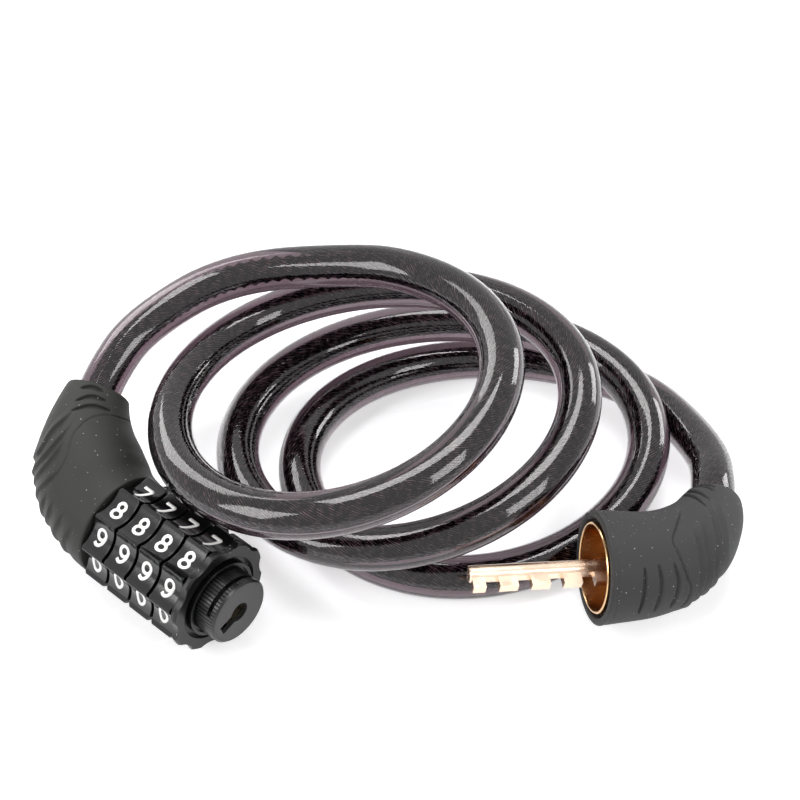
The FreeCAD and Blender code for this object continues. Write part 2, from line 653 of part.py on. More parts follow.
# Lock head's core, with the barrel's seat, the spring's recess and the crimp's bore
core = elbow_core("lock", "LockCoreWhole", "core_face", "core_radius", "core_length", 0.0)
lock_holes = fuse("LockCoreHoles", [
    cylinder("BarrelSeat", "barrel_radius + press_gap", "barrel_back + press_gap",
             "-barrel_back - press_gap"),
    cylinder("SpringRoom", "spring_room", "spring_seat", "-spring_seat"),
    crimp_bore("lock", "LockCrimpBore", size("crimp_gap")),
    dowel_at("lock", "LockDowelHole", "dowel_radius + dowel_gap", 3 * size("dowel_length"))])
finish(cut("LockCore", core, lock_holes), "lock_socket", lock_frame)
crimp("lock")
lock_dowel = dowel_at("lock", "LockDowel", "dowel_radius", size("dowel_length"))
finish(lock_dowel, "lock_cross_pin", lock_frame * lock_dowel.Placement)

# Spring behind the code rings, at the length that it has when the rings are pushed back
helix = Part.makeHelix((size("spring_length") - 2 * size("spring_wire")) / size("spring_turns"),
                       size("spring_length") - 2 * size("spring_wire"), size("spring_radius"))
wire_end = FreeCAD.Vector(size("spring_radius"), 0, 0)
coil_section = Part.Wire([Part.Circle(wire_end, FreeCAD.Vector(0, 1, 0),
                                      size("spring_wire")).toShape()])
spring = doc.addObject("Part::Feature", "RingSpring")
spring_pipe = Part.BRepOffsetAPI.MakePipeShell(Part.Wire(helix.Edges))
spring_pipe.setFrenetMode(True)
spring_pipe.add(coil_section)
spring_pipe.build()
spring_pipe.makeSolid()
spring.Shape = spring_pipe.shape()
spring_low = size("spring_wire") + size("press_gap") - size("spring_seat")
finish(spring, "ring_spring", lock_frame * FreeCAD.Placement(
    FreeCAD.Vector(0, 0, spring_low), FreeCAD.Rotation()))

# Plug: brass shroud, core, toothed pin, crimp and dowel
shroud = turned("Shroud", [
    ("shroud_inner + shroud_lip", "0"), ("shroud_radius - shroud_lip", "0"),
    ("shroud_radius", "-shroud_lip"), ("shroud_radius", "-shroud_length"),
    ("shroud_inner", "-shroud_length"), ("shroud_inner", "-shroud_lip")])
finish(shroud, "shroud_tube", plug_frame)
plug_whole = fuse("PlugCoreAll", [
    common("PlugCoreTrim", plug_core("PlugCoreWhole", 0.0),
           plug_loft("PlugCoreLimit", size("boot_wall") + size("cavity_gap"))),
    cylinder("PlugDisc", "shroud_inner - press_gap", "plug_disc", "-shroud_depth - plug_disc")])
plug_holes = fuse("PlugCoreHoles", [
    cylinder("PinSeat", "pin_radius + press_gap", "pin_root", "-pin_root"),
    crimp_bore("plug", "PlugCrimpBore", size("crimp_gap")),
    dowel_at("plug", "PlugDowelHole", "dowel_radius + dowel_gap", 3 * size("dowel_length"))])
finish(cut("PlugCore", plug_whole, plug_holes), "plug_socket", plug_frame)
crimp("plug")
plug_dowel = dowel_at("plug", "PlugDowel", "dowel_radius", size("dowel_length"))
finish(plug_dowel, "plug_cross_pin", plug_frame * plug_dowel.Placement)

# Locking pin: round shank with a shoulder and one tooth between each two gaps
shank = turned("PinShank", [
    ("0", "press_gap - pin_root"), ("pin_radius", "press_gap - pin_root"),
    ("pin_radius", "press_gap - shroud_depth"), ("pin_shoulder", "press_gap - shroud_depth"),
    ("pin_shoulder", "shoulder_high - shroud_depth"),
    ("pin_radius", "shoulder_high - shroud_depth"),
    ("pin_radius", "pin_reach - tip_chamfer"), ("pin_radius - tip_chamfer", "pin_reach"),
    ("0", "pin_reach")])
teeth = []
for number in range(int(size("tooth_count"))):
    gap_top = "pin_reach - first_gap_centre - %d * dial_pitch + tooth_gap / 2" % number
    if number == 0:
        top, low = "pin_reach - tip_chamfer", gap_top
    else:
        top = "pin_reach - first_gap_centre - %d * dial_pitch - tooth_gap / 2" % (number - 1)
        low = gap_top
    teeth.append(block("Tooth%d" % number, "tooth_reach", "tooth_thick",
                       "(" + top + ") - (" + low + ")", "0", "-tooth_thick / 2", low))
pin_frame = plug_frame * FreeCAD.Placement(
    FreeCAD.Vector(0, 0, 0), FreeCAD.Rotation(FreeCAD.Vector(0, 0, 1), -size("tooth_angle")))
finish(fuse("LockingPin", [shank] + teeth), "locking_pin", pin_frame)


# Boots, cut out round the cores, the crimps, the dowels and the cable
face = size("lock_boot_face")
heel = size("lock_boot_heel")
nose = size("boot_nose")
lock_out = boot_loft("lock", "LockBootOut", size("boot_gap"), 0.0, [
    (0.0, face), (0.2, face + 0.55 * (heel - face)), (0.4, heel), (0.58, heel - 0.16 * (heel - nose)),
    (0.76, nose + 0.46 * (heel - nose)), (0.9, nose + 0.18 * (heel - nose)), (1.0, nose)])
grown = size("cavity_gap")
lock_room = fuse("LockBootRoom", [
    elbow_core("lock", "LockRoom", "0", "core_radius", "core_length + core_face", grown),
    dowel_at("lock", "LockDowelRoom", "dowel_radius + cavity_gap",
             size("dowel_length") + 2 * grown),
    arm_solid("lock", "LockCableHole", "cable_radius + cable_gap", "arm_end", -size("hole_lead"))])
finish(cut("LockBoot", lock_out, lock_room), "lock_boot", lock_frame)

plug_out = plug_loft("PlugBootOut", 0.0)
rim_notch = block("RimNotch", "plug_boot_mouth", "rim_notch_width", "rim_notch_depth",
                  "shroud_inner", "-rim_notch_width / 2", "-rim_setback - rim_notch_depth")
plug_room = fuse("PlugBootRoom", [
    cylinder("ShroudRoom", "shroud_radius + press_gap",
             "shroud_length + press_gap", "-shroud_length - press_gap"),
    common("PlugRoomTrim", plug_core("PlugRoom", grown),
           plug_loft("PlugRoomLimit", size("boot_wall"))),
    cylinder("DiscRoom", "shroud_inner - press_gap + cavity_gap",
             "plug_disc + cavity_gap", "-shroud_depth - plug_disc - cavity_gap"),
    dowel_at("plug", "PlugDowelRoom", "dowel_radius + cavity_gap",
             size("dowel_length") + 2 * grown),
    arm_solid("plug", "PlugCableHole", "cable_radius + cable_gap", "arm_end", -size("hole_lead")),
    rim_notch])
finish(cut("PlugBoot", plug_out, plug_room), "plug_boot", plug_frame)


# Cable: straight out of each boot, and between them the leaning coil of the formula
def drift(name, turn):
    """Value at this turn: its terms, each times a power of the turns from the middle one."""
    along = turn - size("middle_turn")
    words = ("mid", "step", "curve", "cube", "fourth")
    return sum(size(name + "_" + word) * along ** power
               for power, word in enumerate(words) if name + "_" + word in sizes)


def coil_point(turn):
    """Point of the coil's centre line, counted in turns from the lock head."""
    angle = math.pi - 2 * math.pi * (turn + size("turn_lag") + size("turn_stretch") * turn)
    cos = math.cos(angle)
    sin = math.sin(angle)
    x = (drift("coil_x", turn) + drift("width", turn) * cos + drift("skew_x", turn) * sin
         + size("oval_x") * math.cos(2 * angle))
    y = (drift("coil_y", turn) + drift("depth", turn) * sin + drift("skew_y", turn) * cos
         + size("oval_y") * math.sin(2 * angle))
    z = (drift("coil_z", turn) + drift("lean_cos", turn) * cos + drift("lean_sin", turn) * sin
         + size("wave_cos") * math.cos(2 * angle) + size("wave_sin") * math.sin(2 * angle))
    return FreeCAD.Vector(x, y, z)


def coil_way(turn):
    step = 0.0001
    return (coil_point(turn + step) - coil_point(turn - step)).normalize()


def world_exit(head, frame):
    point, way = exit_of(head)
    return frame.multVec(point), frame.Rotation.multVec(way)


lock_exit, lock_way = world_exit("lock", lock_frame)
plug_exit, plug_way = world_exit("plug", plug_frame)
quarters = int(round((size("last_turn") - size("first_turn")) * 4))
turns = [size("first_turn") + 0.25 * i for i in range(quarters + 1)]
stations = ([(lock_exit, lock_way)] + [(coil_point(turn), coil_way(turn)) for turn in turns]
            + [(plug_exit, plug_way * -1)])
route = []
for (start, start_way), (end, end_way) in zip(stations, stations[1:]):
    route += biarc(start, start_way, end, end_way)
print("cable bends at radii", [round(radius) for _, radius in route])


def cable_wire(inside):
    """Whole centre line, starting and ending a straight distance inside the boots."""
    first = Part.LineSegment(lock_exit - lock_way * inside, lock_exit).toShape()
    last = Part.LineSegment(plug_exit, plug_exit - plug_way * inside).toShape()
    return Part.Wire([first] + [edge for edge, _ in route] + [last])


def tube(wire, radius, inside):
    """Round solid along the centre line."""
    ring = Part.Wire([Part.Circle(lock_exit - lock_way * inside, lock_way, radius).toShape()])
    shell = Part.BRepOffsetAPI.MakePipeShell(wire)
    shell.add(ring)
    shell.build()
    shell.makeSolid()
    return shell.shape()


jacket_wire = cable_wire(size("straight_end"))
jacket = doc.addObject("Part::Feature", "Jacket")
outside = tube(jacket_wire, size("cable_radius"), size("straight_end"))
bore_radius = size("rope_radius") + size("rope_gap")
jacket.Shape = outside.cut(tube(jacket_wire, bore_radius, size("straight_end")))
finish(jacket, "cable_jacket", FreeCAD.Placement())
rope_inside = size("straight_end") + size("crimp_length")
rope_wire = cable_wire(rope_inside)
rope = doc.addObject("Part::Feature", "Rope")
rope.Shape = tube(rope_wire, size("rope_radius"), rope_inside)
finish(rope, "cable_core", FreeCAD.Placement())

# Measures: the cable's length and volumes, and its least gap to itself
print("cable length", round(jacket_wire.Length, 1), "rope length", round(rope_wire.Length, 1))
section = math.pi * (size("cable_radius") ** 2 - bore_radius ** 2)
print("jacket volume share", round(jacket.Shape.Volume / (section * jacket_wire.Length), 4))
spots = jacket_wire.discretize(Distance=2.0)
apart = int(40.0 / 2.0)
least = min((spots[i] - spots[j]).Length for i in range(len(spots))
            for j in range(i + apart, len(spots)))
print("least gap between turns", round(least - 2 * size("cable_radius"), 2))
print("lowest point of the cable", round(min(spot.z for spot in spots) - size("cable_radius"), 2))

doc.recompute()
for item in doc.Objects:
    if "Invalid" in item.State or "Error" in item.State:
        raise RuntimeError(item.Name + " failed: " + str(item.State))
os.makedirs("parts", exist_ok=True)
for item in parts:
    if item.Shape.isNull() or not item.Shape.isValid() or not item.Shape.Solids:
        raise RuntimeError(item.Label + " has no valid solid")
    item.Shape.exportStep("parts/" + item.Label + ".step")
    print(item.Label, "solids", len(item.Shape.Solids), "volume", round(item.Shape.Volume, 1))
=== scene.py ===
import math

import bpy
import numpy as np
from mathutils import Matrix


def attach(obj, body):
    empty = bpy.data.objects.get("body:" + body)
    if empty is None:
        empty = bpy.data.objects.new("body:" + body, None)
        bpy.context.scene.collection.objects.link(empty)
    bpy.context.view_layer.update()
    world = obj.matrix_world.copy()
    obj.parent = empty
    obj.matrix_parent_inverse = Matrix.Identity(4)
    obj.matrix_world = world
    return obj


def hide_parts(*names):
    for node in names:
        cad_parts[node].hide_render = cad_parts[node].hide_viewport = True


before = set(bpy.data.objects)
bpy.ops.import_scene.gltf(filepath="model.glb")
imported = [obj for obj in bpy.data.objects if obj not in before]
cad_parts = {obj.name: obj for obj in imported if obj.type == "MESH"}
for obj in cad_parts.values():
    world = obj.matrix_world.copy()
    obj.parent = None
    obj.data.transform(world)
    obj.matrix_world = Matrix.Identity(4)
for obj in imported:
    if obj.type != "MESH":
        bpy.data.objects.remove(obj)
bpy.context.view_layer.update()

# Camera: a long lens that looks down on the table from in front, as the photograph was taken.
scene = bpy.context.scene
scene.view_settings.view_transform = "Standard"
camera = bpy.data.objects.new("camera", bpy.data.cameras.new("camera"))
scene.collection.objects.link(camera)
camera.location = (0.00329, -0.30829, 0.3600)
camera.rotation_euler = (math.radians(45.745), 0, 0)
camera.data.lens = 77.1
camera.data.sensor_width = 36
scene.camera = camera


# Table: a white laminate sweep under soft boxes. It shows as white paper where the light reaches
# it and keeps the lock's soft shadow. It isn't part of the object.
def linear(colour):
    """Linear colour of an sRGB hex value, channel by channel, by the curve of the standard."""
    parts = [int(colour[i:i + 2], 16) / 255 for i in (1, 3, 5)]
    return tuple(c / 12.92 if c <= 0.04045 else ((c + 0.055) / 1.055) ** 2.4 for c in parts) + (1.0,)


def node(tree, kind, sockets=None, **settings):
    """Adds a shader node. Each entry of sockets gives an input its value, or the output that it is
    linked to."""
    made = tree.nodes.new("ShaderNode" + kind)
    for name, value in settings.items():
        setattr(made, name, value)
    for key, value in (sockets or {}).items():
        if isinstance(value, bpy.types.NodeSocket):
            tree.links.new(value, made.inputs[key])
        else:
            made.inputs[key].default_value = value
    return made


def blank(name):
    """New material with an empty node tree."""
    material = bpy.data.materials.new(name)
    material.use_nodes = True
    material.node_tree.nodes.clear()
    return material, material.node_tree


def seen_by_eye(tree):
    """1 for camera, glossy and transmission rays, which show the background, and 0 for the light's."""
    path = node(tree, "LightPath").outputs
    either = node(tree, "Math", {0: path["Is Camera Ray"], 1: path["Is Glossy Ray"]},
                  operation="MAXIMUM")
    return node(tree, "Math", {0: either.outputs[0], 1: path["Is Transmission Ray"]},
                operation="MAXIMUM").outputs[0]


FLOOR_GLOW = 0.52
FILL_LIGHT = 0.24
laminate, tree = blank("white_laminate_table")
glow = node(tree, "Math", {0: seen_by_eye(tree), 1: FLOOR_GLOW}, operation="MULTIPLY")
paper = node(tree, "BsdfDiffuse", {"Color": linear("#E9E9EB")})
shine = node(tree, "Emission", {"Color": linear("#FFFFFF"), "Strength": glow.outputs[0]})
both = node(tree, "AddShader", {0: paper.outputs[0], 1: shine.outputs[0]})
node(tree, "OutputMaterial", {"Surface": both.outputs[0]})

table = bpy.data.meshes.new("table")
table.from_pydata([(-3, -3, 0), (3, -3, 0), (3, 3, 0), (-3, 3, 0)], [], [(0, 1, 2, 3)])
table.materials.append(laminate)
floor = bpy.data.objects.new("table", table)
scene.collection.objects.link(floor)

studio = bpy.data.worlds.new("studio")
scene.world = studio
studio.use_nodes = True
tree = studio.node_tree
tree.nodes.clear()
level = node(tree, "MapRange", {0: seen_by_eye(tree), 3: FILL_LIGHT, 4: 1.0})
node(tree, "OutputWorld", {"Surface": node(tree, "Background", {
    "Color": linear("#FFFFFF"), "Strength": level.outputs[0]}).outputs[0]})


def soft_box(name, place, target, size, power):
    """Square or oblong lamp at a place, turned so that its light goes towards a target."""
    lamp = bpy.data.lights.new(name, "AREA")
    lamp.shape = "RECTANGLE"
    lamp.size, lamp.size_y = size
    lamp.energy = power
    box = bpy.data.objects.new(name, lamp)
    scene.collection.objects.link(box)
    way = np.array(target) - np.array(place)
    box.location = place
    heading = math.atan2(way[0], -way[1])
    box.rotation_euler = (math.atan2(math.hypot(way[0], way[1]), -way[2]), 0, math.pi + heading)


COIL_MIDDLE = (0, 0.04, 0.02)
soft_box("overhead_box", (-0.02, 0.17, 0.82), COIL_MIDDLE, (0.52, 0.40), 5.0)
soft_box("front_left_box", (-0.56, -0.32, 0.46), COIL_MIDDLE, (0.40, 0.46), 3.6)
soft_box("front_right_box", (0.52, -0.40, 0.42), COIL_MIDDLE, (0.24, 0.44), 2.0)
soft_box("back_left_box", (-0.46, 0.46, 0.44), COIL_MIDDLE, (0.36, 0.40), 2.2)
soft_box("back_right_card", (0.56, 0.34, 0.24), COIL_MIDDLE, (0.24, 0.24), 1.2)

# Cable: a wire rope inside a smoke-grey flexible PVC jacket that is extruded tight on it. It is
# wound while hot, so that it springs back to this leaning coil. Both ends are crimped in the heads.
CABLE_RADIUS = 6.0
CABLE_SIDES = 36
ROPE_RADIUS = 2.5
TURN_STEPS = 24
FIRST_TURN, MIDDLE_TURN, LAST_TURN = 0.25, 1.75, 3.25


def coil(turn):
    """Coil's centre line in mm at a turn count: ovals whose place, size, skew and lean drift with
    powers of the turns from the middle one. A spline lies inside its points, so each wave is raised by
    what the spline takes off it."""
    once = 4 / (3 + math.cos(2 * math.pi / TURN_STEPS))
    twice = 4 / (3 + math.cos(4 * math.pi / TURN_STEPS))
    angle = np.pi - 2 * np.pi * (turn + 0.0723 + 0.0397 * turn)
    cos, sin = once * np.cos(angle), once * np.sin(angle)
    cos_twice, sin_twice = twice * np.cos(2 * angle), twice * np.sin(2 * angle)
    u = turn - MIDDLE_TURN
    x = (6.99 + 21.16 * u - 0.05 * u ** 2 - 1.46 * u ** 3 - 0.421 * u ** 4
         + (51.82 + 2.38 * u - 1.02 * u ** 2) * cos + (-6.11 + 0.8 * u) * sin + 1.17 * cos_twice)
    y = (28.94 + 6.71 * u - 2.68 * u ** 2 - 1.95 * u ** 3 - 0.12 * u ** 4
         + (45.05 - 0.82 * u - 0.31 * u ** 2) * sin + (7.51 + 0.75 * u) * cos - 0.71 * sin_twice)
    z = (24.22 - 21.99 * u - 0.47 * u ** 2 + 4.27 * u ** 3 + 1.92 * u ** 4
         + (5.38 - 3.75 * u - 1.87 * u ** 2 - 0.34 * u ** 3) * cos
         + (1.61 + 2.44 * u - 2.33 * u ** 2 - 1.22 * u ** 3) * sin
         + 1.03 * cos_twice + 1.13 * sin_twice)
    return np.stack([x, y, z], axis=1)


LOCK_EXIT, LOCK_WAY = np.array([-80.14, 33.19, 30.0]), np.array([0.2986, 0.8559, 0.4222])
PLUG_EXIT, PLUG_WAY = np.array([87.61, 3.8, 17.66]), np.array([0.1864, 0.9813, 0.0487])
turns = FIRST_TURN + np.arange(round((LAST_TURN - FIRST_TURN) * TURN_STEPS) + 1) / TURN_STEPS
route = np.vstack([
    LOCK_EXIT + np.outer([-12, -4, 6], LOCK_WAY), [(-70.2, 50.5, 39.1), (-45.0, 66.5, 46.2)],
    coil(turns),
    [(89.9, 24.6, 14.4)], PLUG_EXIT + np.outer([6, -4, -12], PLUG_WAY)]) / 1000

cable_line = bpy.data.curves.new("cable_line", "CURVE")
cable_line.dimensions = "3D"
spline = cable_line.splines.new("NURBS")
spline.points.add(len(route) - 1)
spline.points.foreach_set("co", np.hstack([route, np.ones((len(route), 1))]).ravel())
spline.order_u = 3
spline.use_endpoint_u = True
spline.resolution_u = 10
line_object = bpy.data.objects.new("cable_line", cable_line)
scene.collection.objects.link(line_object)
line_mesh = bpy.data.meshes.new_from_object(line_object)
path = np.zeros(len(line_mesh.vertices) * 3)
line_mesh.vertices.foreach_get("co", path)
path = path.reshape(-1, 3) * 1000
bpy.data.objects.remove(line_object)


def follow(line, radius, around, start=0.0):
    """Tube's grid about a line: at each point of the line, a ring of that radius in the plane of its
    side, which is square to the line and level, and its top, which is square to both."""
    ahead = np.gradient(line, axis=0)
    ahead /= np.linalg.norm(ahead, axis=1)[:, None]
    side = np.cross(ahead, (0, 0, 1.0))
    side /= np.linalg.norm(side, axis=1)[:, None]
    top = np.cross(side, ahead)
    angle = start + 2 * np.pi * np.arange(around) / around
    angle = np.broadcast_to(np.atleast_2d(angle), (len(line), around))
    radius = np.broadcast_to(np.reshape(radius, (-1, 1)), (len(line), around))
    return (line[:, None] + (radius * np.cos(angle))[..., None] * side[:, None]
            + (radius * np.sin(angle))[..., None] * top[:, None])


def skin(name, grids, material, ring=False, heights=None):
    """One mesh from grids of points in mm. A grid's rows run along the piece and its columns go round
    it, the last meeting the first. With ring its last row meets its first too, and otherwise each end
    row is closed by a fan onto its middle. The faces are turned so that the volume is positive. With
    heights, a number for each point of each grid goes into the attribute "height"."""
    points, faces, marks, count = [], [], [], 0
    for grid in grids:
        rows, cols = grid.shape[:2]
        i = np.arange(rows if ring else rows - 1)[:, None]
        j = np.arange(cols)[None]
        after, beside = (i + 1) % rows, (j + 1) % cols
        quads = np.stack([i * cols + j, i * cols + beside, after * cols + beside, after * cols + j], -1)
        run = np.concatenate([[0], np.cumsum(np.linalg.norm(np.diff(grid[:, 0], axis=0), axis=1))])
        run = np.append(run, run[-1])
        along = np.stack([run[i] + 0 * j, run[i] + 0 * j, run[i + 1] + 0 * j, run[i + 1] + 0 * j], -1)
        round_ = np.stack([j + 0 * i, j + 1 + 0 * i, j + 1 + 0 * i, j + 0 * i], -1) / cols
        quads = quads.reshape(-1, 4)
        spread = np.stack([along / 1000, round_], -1).reshape(-1, 4, 2)
        flat = grid.reshape(-1, 3)
        if not ring:
            flat = np.vstack([flat, grid[0].mean(0), grid[-1].mean(0)])
            j, beside = j[0], beside[0]
            low = np.stack([beside, j, np.full(cols, rows * cols), np.full(cols, -1)], -1)
            high = np.stack([(rows - 1) * cols + j, (rows - 1) * cols + beside,
                             np.full(cols, rows * cols + 1), np.full(cols, -1)], -1)
            quads = np.vstack([quads, low, high])
            spread = np.vstack([spread, np.zeros((2 * cols, 4, 2))])
        first, second, third = (flat[quads[:, k]] for k in (0, 1, 2))
        last = flat[np.where(quads[:, 3] < 0, quads[:, 2], quads[:, 3])]
        volume = (np.cross(first, second) * third + np.cross(first, third) * last).sum()
        if volume < 0:
            quads = np.where(quads[:, 3:] < 0, quads[:, [1, 0, 2, 3]], quads[:, ::-1])
            spread = np.where(quads[:, 3:, None] < 0, spread, spread[:, ::-1])
        points.append(flat)
        faces.append(np.where(quads < 0, -1, quads + count))
        marks.append(spread)
        count += len(flat)
    points, faces, marks = np.vstack(points) / 1000, np.vstack(faces), np.vstack(marks)
    kept = faces >= 0
    mesh = bpy.data.meshes.new(name)
    mesh.vertices.add(len(points))
    mesh.vertices.foreach_set("co", points.ravel())
    mesh.loops.add(int(kept.sum()))
    mesh.loops.foreach_set("vertex_index", faces[kept])
    mesh.polygons.add(len(faces))
    sides = kept.sum(axis=1)
    mesh.polygons.foreach_set("loop_start", np.concatenate([[0], np.cumsum(sides)[:-1]]))
    mesh.polygons.foreach_set("use_smooth", np.ones(len(faces), bool))
    mesh.update(calc_edges=True)
    mesh.validate()
    unwrap = mesh.uv_layers.new(name="along_and_round")
    unwrap.data.foreach_set("uv", marks[kept].ravel())
    if heights is not None:
        level = np.concatenate([np.append(part.ravel(), [0, 0]) for part in heights])
        mesh.attributes.new("height", "FLOAT", "POINT").data.foreach_set("value", level)
    mesh.materials.append(material)
    piece = bpy.data.objects.new(name, mesh)
    scene.collection.objects.link(piece)
    return piece


# Smoke-grey flexible PVC, clear and glossy: pale edges where it shows the table through itself, a
# pink-grey tint that deepens with the thickness, and long soft reflections of the lamps. The coat
# stands for its extruded skin, and the ripple for the slight waviness of that skin.
pvc, tree = blank("smoke_clear_flexible_pvc")
place = node(tree, "TexCoord").outputs["Object"]
ripple = node(tree, "TexNoise", {"Vector": place, "Scale": 55.0, "Detail": 1.0})
bump = node(tree, "Bump", {"Height": ripple.outputs[0], "Strength": 0.08, "Distance": 0.0006})
clear = node(tree, "BsdfPrincipled", {
    "Base Color": linear("#FFFFFF"), "Roughness": 0.07, "IOR": 1.53, "Transmission Weight": 1.0,
    "Specular Tint": linear("#E4E0E1"), "Coat Weight": 0.35, "Coat Roughness": 0.09,
    "Normal": bump.outputs[0], "Coat Normal": bump.outputs[0]})
thin = node(tree, "BsdfTransparent", {"Color": linear("#A89AA0")})
shade = node(tree, "LightPath").outputs["Is Shadow Ray"]
mixed = node(tree, "MixShader", {0: shade, 1: clear.outputs[0], 2: thin.outputs[0]})
smoke = node(tree, "VolumeAbsorption", {"Color": (0.37, 0.26, 0.31, 1.0), "Density": 330.0})
node(tree, "OutputMaterial", {"Surface": mixed.outputs[0], "Volume": smoke.outputs[0]})

# Bright steel wire: six wires show across each strand. Its colour is painted light: a pale painted
# highlight on the crests of the wires and strands, broken up by noise, and dark painted shade between
# the wires, where the strands lie against each other.
WIRES = 6
WIRE_LAY = 6.0
wire, tree = blank("drawn_steel_wire_rope")
spread = node(tree, "UVMap", uv_map="along_and_round").outputs[0]
split = node(tree, "SeparateXYZ", {0: spread})
run = node(tree, "Math", {0: split.outputs[0], 1: -2000 * math.pi / WIRE_LAY},
           operation="MULTIPLY")
turned = node(tree, "Math", {0: split.outputs[1], 1: 2 * math.pi * WIRES, 2: run.outputs[0]},
              operation="MULTIPLY_ADD")
wave = node(tree, "Math", {0: turned.outputs[0]}, operation="SINE")
ridge = node(tree, "MapRange", {0: wave.outputs[0], 1: -0.2, 2: 1.0, 3: 0.0, 4: 1.0})
place = node(tree, "TexCoord").outputs["Object"]
# Noise that breaks up the painted highlight on the crests.
crest_breakup_noise = node(tree, "TexNoise", {"Vector": place, "Scale": 620.0, "Detail": 2.0})
broken = node(tree, "MapRange", {0: crest_breakup_noise.outputs[0], 1: 0.42, 2: 0.62, 3: 0.05, 4: 1.0})
lit_wire_ridges = node(tree, "Math", {0: ridge.outputs[0], 1: broken.outputs[0]}, operation="MULTIPLY")
# Painted shade: dark where the surface lies nearer the rope's axis, between the strands; painted
# highlight on the outer crests.
height = node(tree, "Attribute", attribute_name="height").outputs["Fac"]
lit_strand_crest = node(tree, "MapRange", {0: height, 1: 0.80, 2: 0.97, 3: 0.0, 4: 1.0})
painted_light_mask = node(tree, "Math", {0: lit_wire_ridges.outputs[0], 1: lit_strand_crest.outputs[0]}, operation="MULTIPLY")
# Mix from the painted shade colour to the painted highlight colour on the steel.
tint = node(tree, "Mix", {0: painted_light_mask.outputs[0], 6: linear("#080607"), 7: linear("#B09EA2")},
            data_type="RGBA")
bump = node(tree, "Bump", {"Height": ridge.outputs[0], "Strength": 0.8, "Distance": 0.0002})
steel = node(tree, "BsdfPrincipled", {"Base Color": tint.outputs[2], "Metallic": 0.85,
                                      "Roughness": 0.38, "Normal": bump.outputs[0]})
node(tree, "OutputMaterial", {"Surface": steel.outputs[0]})

jacket = skin("pvc_jacket", [follow(path, CABLE_RADIUS, CABLE_SIDES)], pvc)
STRANDS = 10
STRAND_RADIUS = 0.62
STRAND_SIDES = 7
LAY_LENGTH = 16.0
step = np.linalg.norm(np.diff(path, axis=0), axis=1)
reach = np.concatenate([[0], np.cumsum(step)])
lay_grids = []
for number in range(STRANDS):
    twist = 2 * np.pi * (number / STRANDS - reach / LAY_LENGTH)
    centre = follow(path, ROPE_RADIUS - STRAND_RADIUS, 1, twist[:, None])[:, 0]
    lay_grids.append(follow(centre, STRAND_RADIUS, STRAND_SIDES))
lay_grids.append(follow(path, ROPE_RADIUS - 1.5 * STRAND_RADIUS, STRANDS - 2))
heights = [np.linalg.norm(grid - path[:, None], axis=2) / ROPE_RADIUS for grid in lay_grids]
rope = skin("wire_rope", lay_grids, wire, heights=heights)
for piece, slot in ((jacket, "jacket"), (rope, "rope")):
    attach(piece, "lock")
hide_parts("cable_jacket")
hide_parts("cable_core")


# Lock head, metal inside: a turned barrel with code rings on it, a leaf that clicks the dials, and a
# cast socket that grips the cable's crimp. All of it is covered, but for the barrel in the keyhole.
def dress(names, material):
    """Gives CAD nodes their real finish, in place of the plain one that they come with."""
    for name in names:
        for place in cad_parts[name].material_slots:
            place.material = material


def metal(name, colour, roughness, grain, patches=0.12):
    """Bare metal: its colour, a gloss that changes in soft patches, and a grain of this many mm."""
    material, tree = blank(name)
    place = node(tree, "TexCoord").outputs["Object"]
    cloud = node(tree, "TexNoise", {"Vector": place, "Scale": 180.0, "Detail": 3.0})
    gloss = node(tree, "MapRange", {0: cloud.outputs[0], 1: 0.3, 2: 0.7, 3: roughness - patches,
                                    4: roughness + patches})
    fine = node(tree, "TexNoise", {"Vector": place, "Scale": 1000 / grain, "Detail": 2.0})
    bump = node(tree, "Bump", {"Height": fine.outputs[0], "Strength": 0.25, "Distance": 0.00003})
    shader = node(tree, "BsdfPrincipled", {"Base Color": linear(colour), "Metallic": 1.0,
                                           "Roughness": gloss.outputs[0], "Normal": bump.outputs[0]})
    node(tree, "OutputMaterial", {"Surface": shader.outputs[0]})
    return material


# Zinc die castings: dull grey with a coarse skin. Steel: drawn and bright. Turned steel: finer.
dress(["lock_socket", "shift_collar"], metal("zinc_die_cast", "#9A9B9D", 0.45, 0.5))
dress(["barrel", "code_ring_1", "code_ring_2", "code_ring_3", "code_ring_4"],
      metal("turned_nickel_plated_brass", "#C9C2B2", 0.28, 0.2))
dress(["detent_spring", "ring_spring", "knob_clip"], metal("spring_steel", "#8E9094", 0.30, 0.15))
dress(["lock_ferrule", "plug_ferrule"], metal("aluminium_crimp", "#C4C6C8", 0.38, 0.3))
dress(["lock_cross_pin", "plug_cross_pin"], metal("ground_dowel_steel", "#B2B4B8", 0.22, 0.15))


# Dials: four wheels of gloss black ABS, injection moulded with ten hollow faces each. The white
# numbers are printed into the hollows. Dust and handling leave a few pale specks on them.
LOCK_PLACE = np.array([-70.3, -4.05, 15.9])
LOCK_HEADING, LOCK_TILT = -41.4, 0.0
PLUG_PLACE = np.array([53.13, -21.23, 19.7])
PLUG_HEADING, PLUG_TILT = -170.2, 7.1


def head_axes(heading, tilt):
    """Rows: the head's upward, sideways and outward directions, from its compass angle and its tilt."""
    psi, tau = math.radians(heading), math.radians(tilt)
    out = np.array([math.cos(tau) * math.cos(psi), math.cos(tau) * math.sin(psi), math.sin(tau)])
    up = np.array([-math.sin(tau) * math.cos(psi), -math.sin(tau) * math.sin(psi), math.cos(tau)])
    return np.stack([up, np.cross(out, up), out])


LOCK_AXES = head_axes(LOCK_HEADING, LOCK_TILT)
PLUG_AXES = head_axes(PLUG_HEADING, PLUG_TILT)


